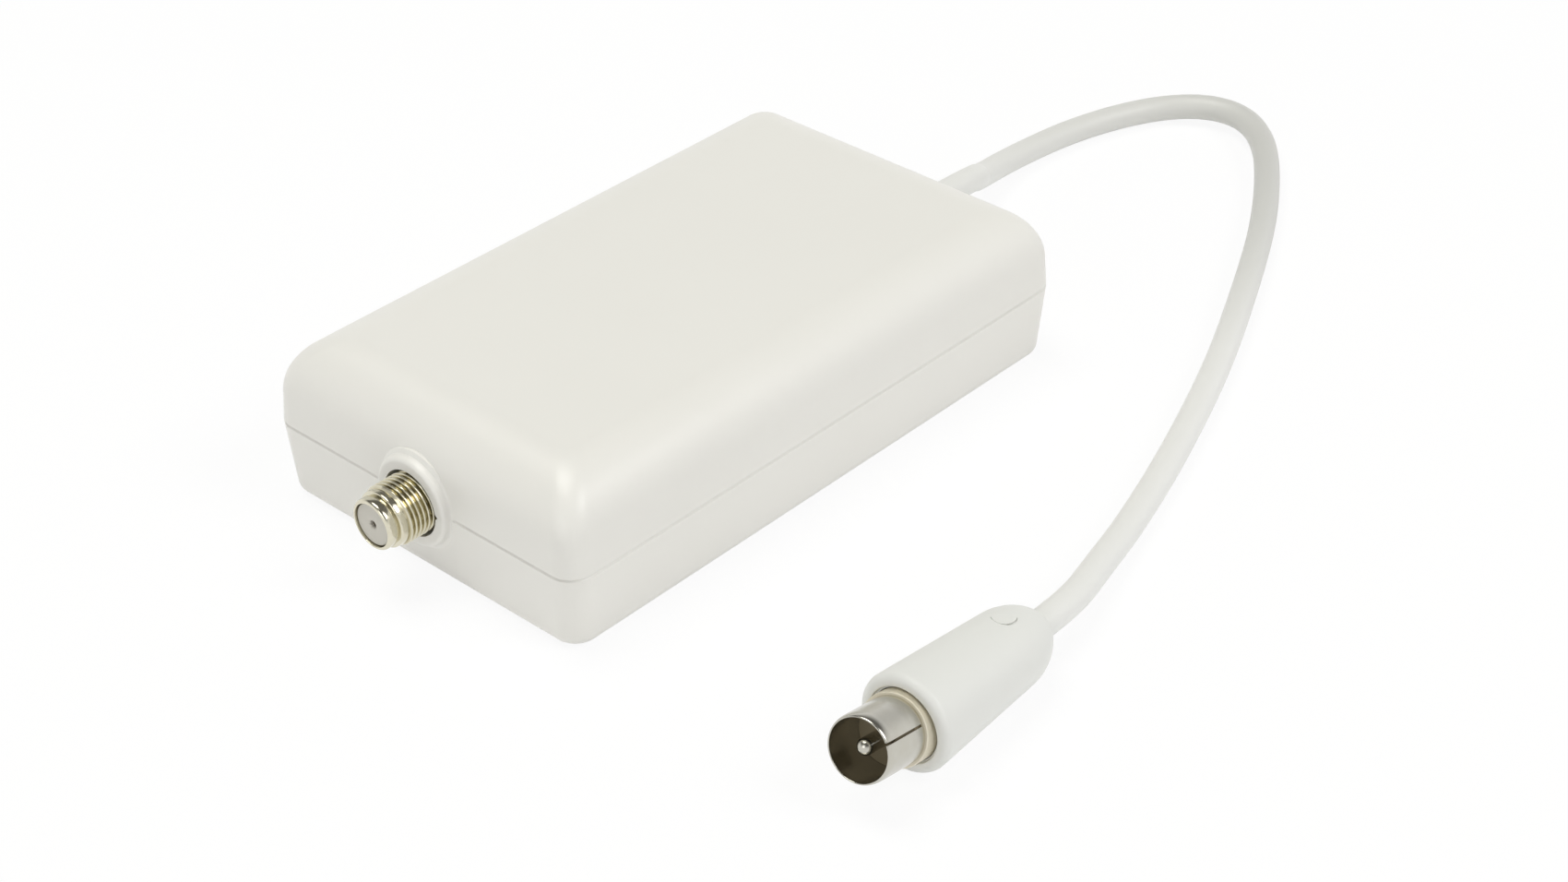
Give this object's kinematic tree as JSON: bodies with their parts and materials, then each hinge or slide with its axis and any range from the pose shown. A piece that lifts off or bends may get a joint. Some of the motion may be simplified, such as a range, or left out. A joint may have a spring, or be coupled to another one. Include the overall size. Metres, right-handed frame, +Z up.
{
  "type": "antenna amplifier",
  "caption": "Off-white two-shell antenna amplifier box with a threaded coaxial socket at one end and a short coaxial lead ending in a moulded aerial plug at the other.",
  "frame": {"origin": "centre of the case's flat underside, on the table", "axes": "+X from the threaded socket's end to the lead's end, +Z up, -Y the side on which the plug lies"},
  "size_m": [0.1952, 0.1164, 0.0258],
  "materials": {
    "case_plastic": "off-white moulded styrene, fine satin",
    "zinc_steel": "zinc plated",
    "nickel_plate": "brass with bright nickel plate",
    "pale_insulator": "pale moulded insulator",
    "contact_brass": "spring bronze",
    "board_laminate": "green solder mask on glass laminate",
    "tinned_sheet": "tinned",
    "black_epoxy": "moulded epoxy",
    "tan_ceramic": "ceramic",
    "dark_ferrite": "ferrite with copper winding",
    "can_aluminium": "drawn can",
    "black_nylon": "moulded nylon",
    "lead_pvc": "soft white jacket",
    "white_dielectric": "foamed core",
    "bare_copper": "drawn copper",
    "boot_pvc": "soft white overmould",
    "dark_insulator": "moulded insulator, dark brown"
  },
  "bodies": {
    "root": {"bottom_cover": "case_plastic", "top_cover": "case_plastic", "case_screws": "zinc_steel", "socket_barrel": "nickel_plate", "socket_insulator": "pale_insulator", "socket_contact": "contact_brass", "circuit_board": "board_laminate", "board_screws": "zinc_steel", "shield_frame": "tinned_sheet", "shield_lid": "tinned_sheet", "amplifier_chips": "black_epoxy", "chip_capacitors": "tan_ceramic", "chip_resistors": "black_epoxy", "rf_choke": "dark_ferrite", "reservoir_capacitor": "can_aluminium", "cable_clamp": "black_nylon", "clamp_screws": "zinc_steel", "lead_jacket": "lead_pvc", "lead_braid": "tinned_sheet", "lead_core": "white_dielectric", "lead_wire": "bare_copper", "output_cable": "lead_pvc", "plug_boot": "boot_pvc", "plug_ring": "nickel_plate", "plug_sleeve": "nickel_plate", "plug_insulator": "dark_insulator", "plug_pin": "nickel_plate", "plug_ferrule": "nickel_plate", "plug_core": "white_dielectric", "plug_jacket": "lead_pvc"}
  },
  "joints": []
}
